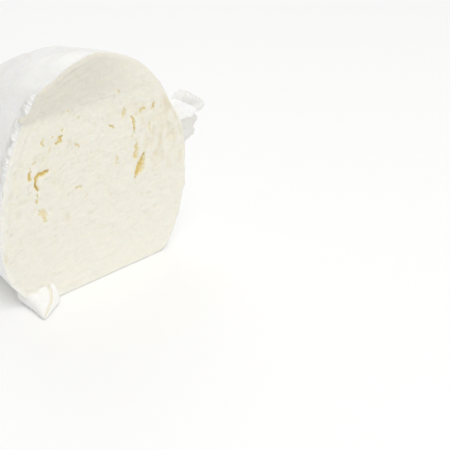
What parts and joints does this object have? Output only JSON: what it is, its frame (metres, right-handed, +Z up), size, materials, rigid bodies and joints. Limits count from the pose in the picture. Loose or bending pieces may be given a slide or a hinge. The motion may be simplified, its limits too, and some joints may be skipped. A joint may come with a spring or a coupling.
{
  "type": "mozzarella ball",
  "caption": "Large soft mozzarella ball with one end sliced away: a pale dished cut face, a smooth rounded far end and a flat spot to rest on.",
  "frame": {"origin": "bottom centre of the bounding box, on the surface that the ball lies on", "axes": "+Z up, the cut face looks along -Y, the rounded far end points along +Y"},
  "size_m": [0.0722, 0.0638, 0.0651],
  "materials": {
    "curd": "soft, moist, slightly translucent ivory curd with a smooth whiter skin"
  },
  "bodies": {
    "root": {"cheese": "curd"}
  },
  "joints": []
}
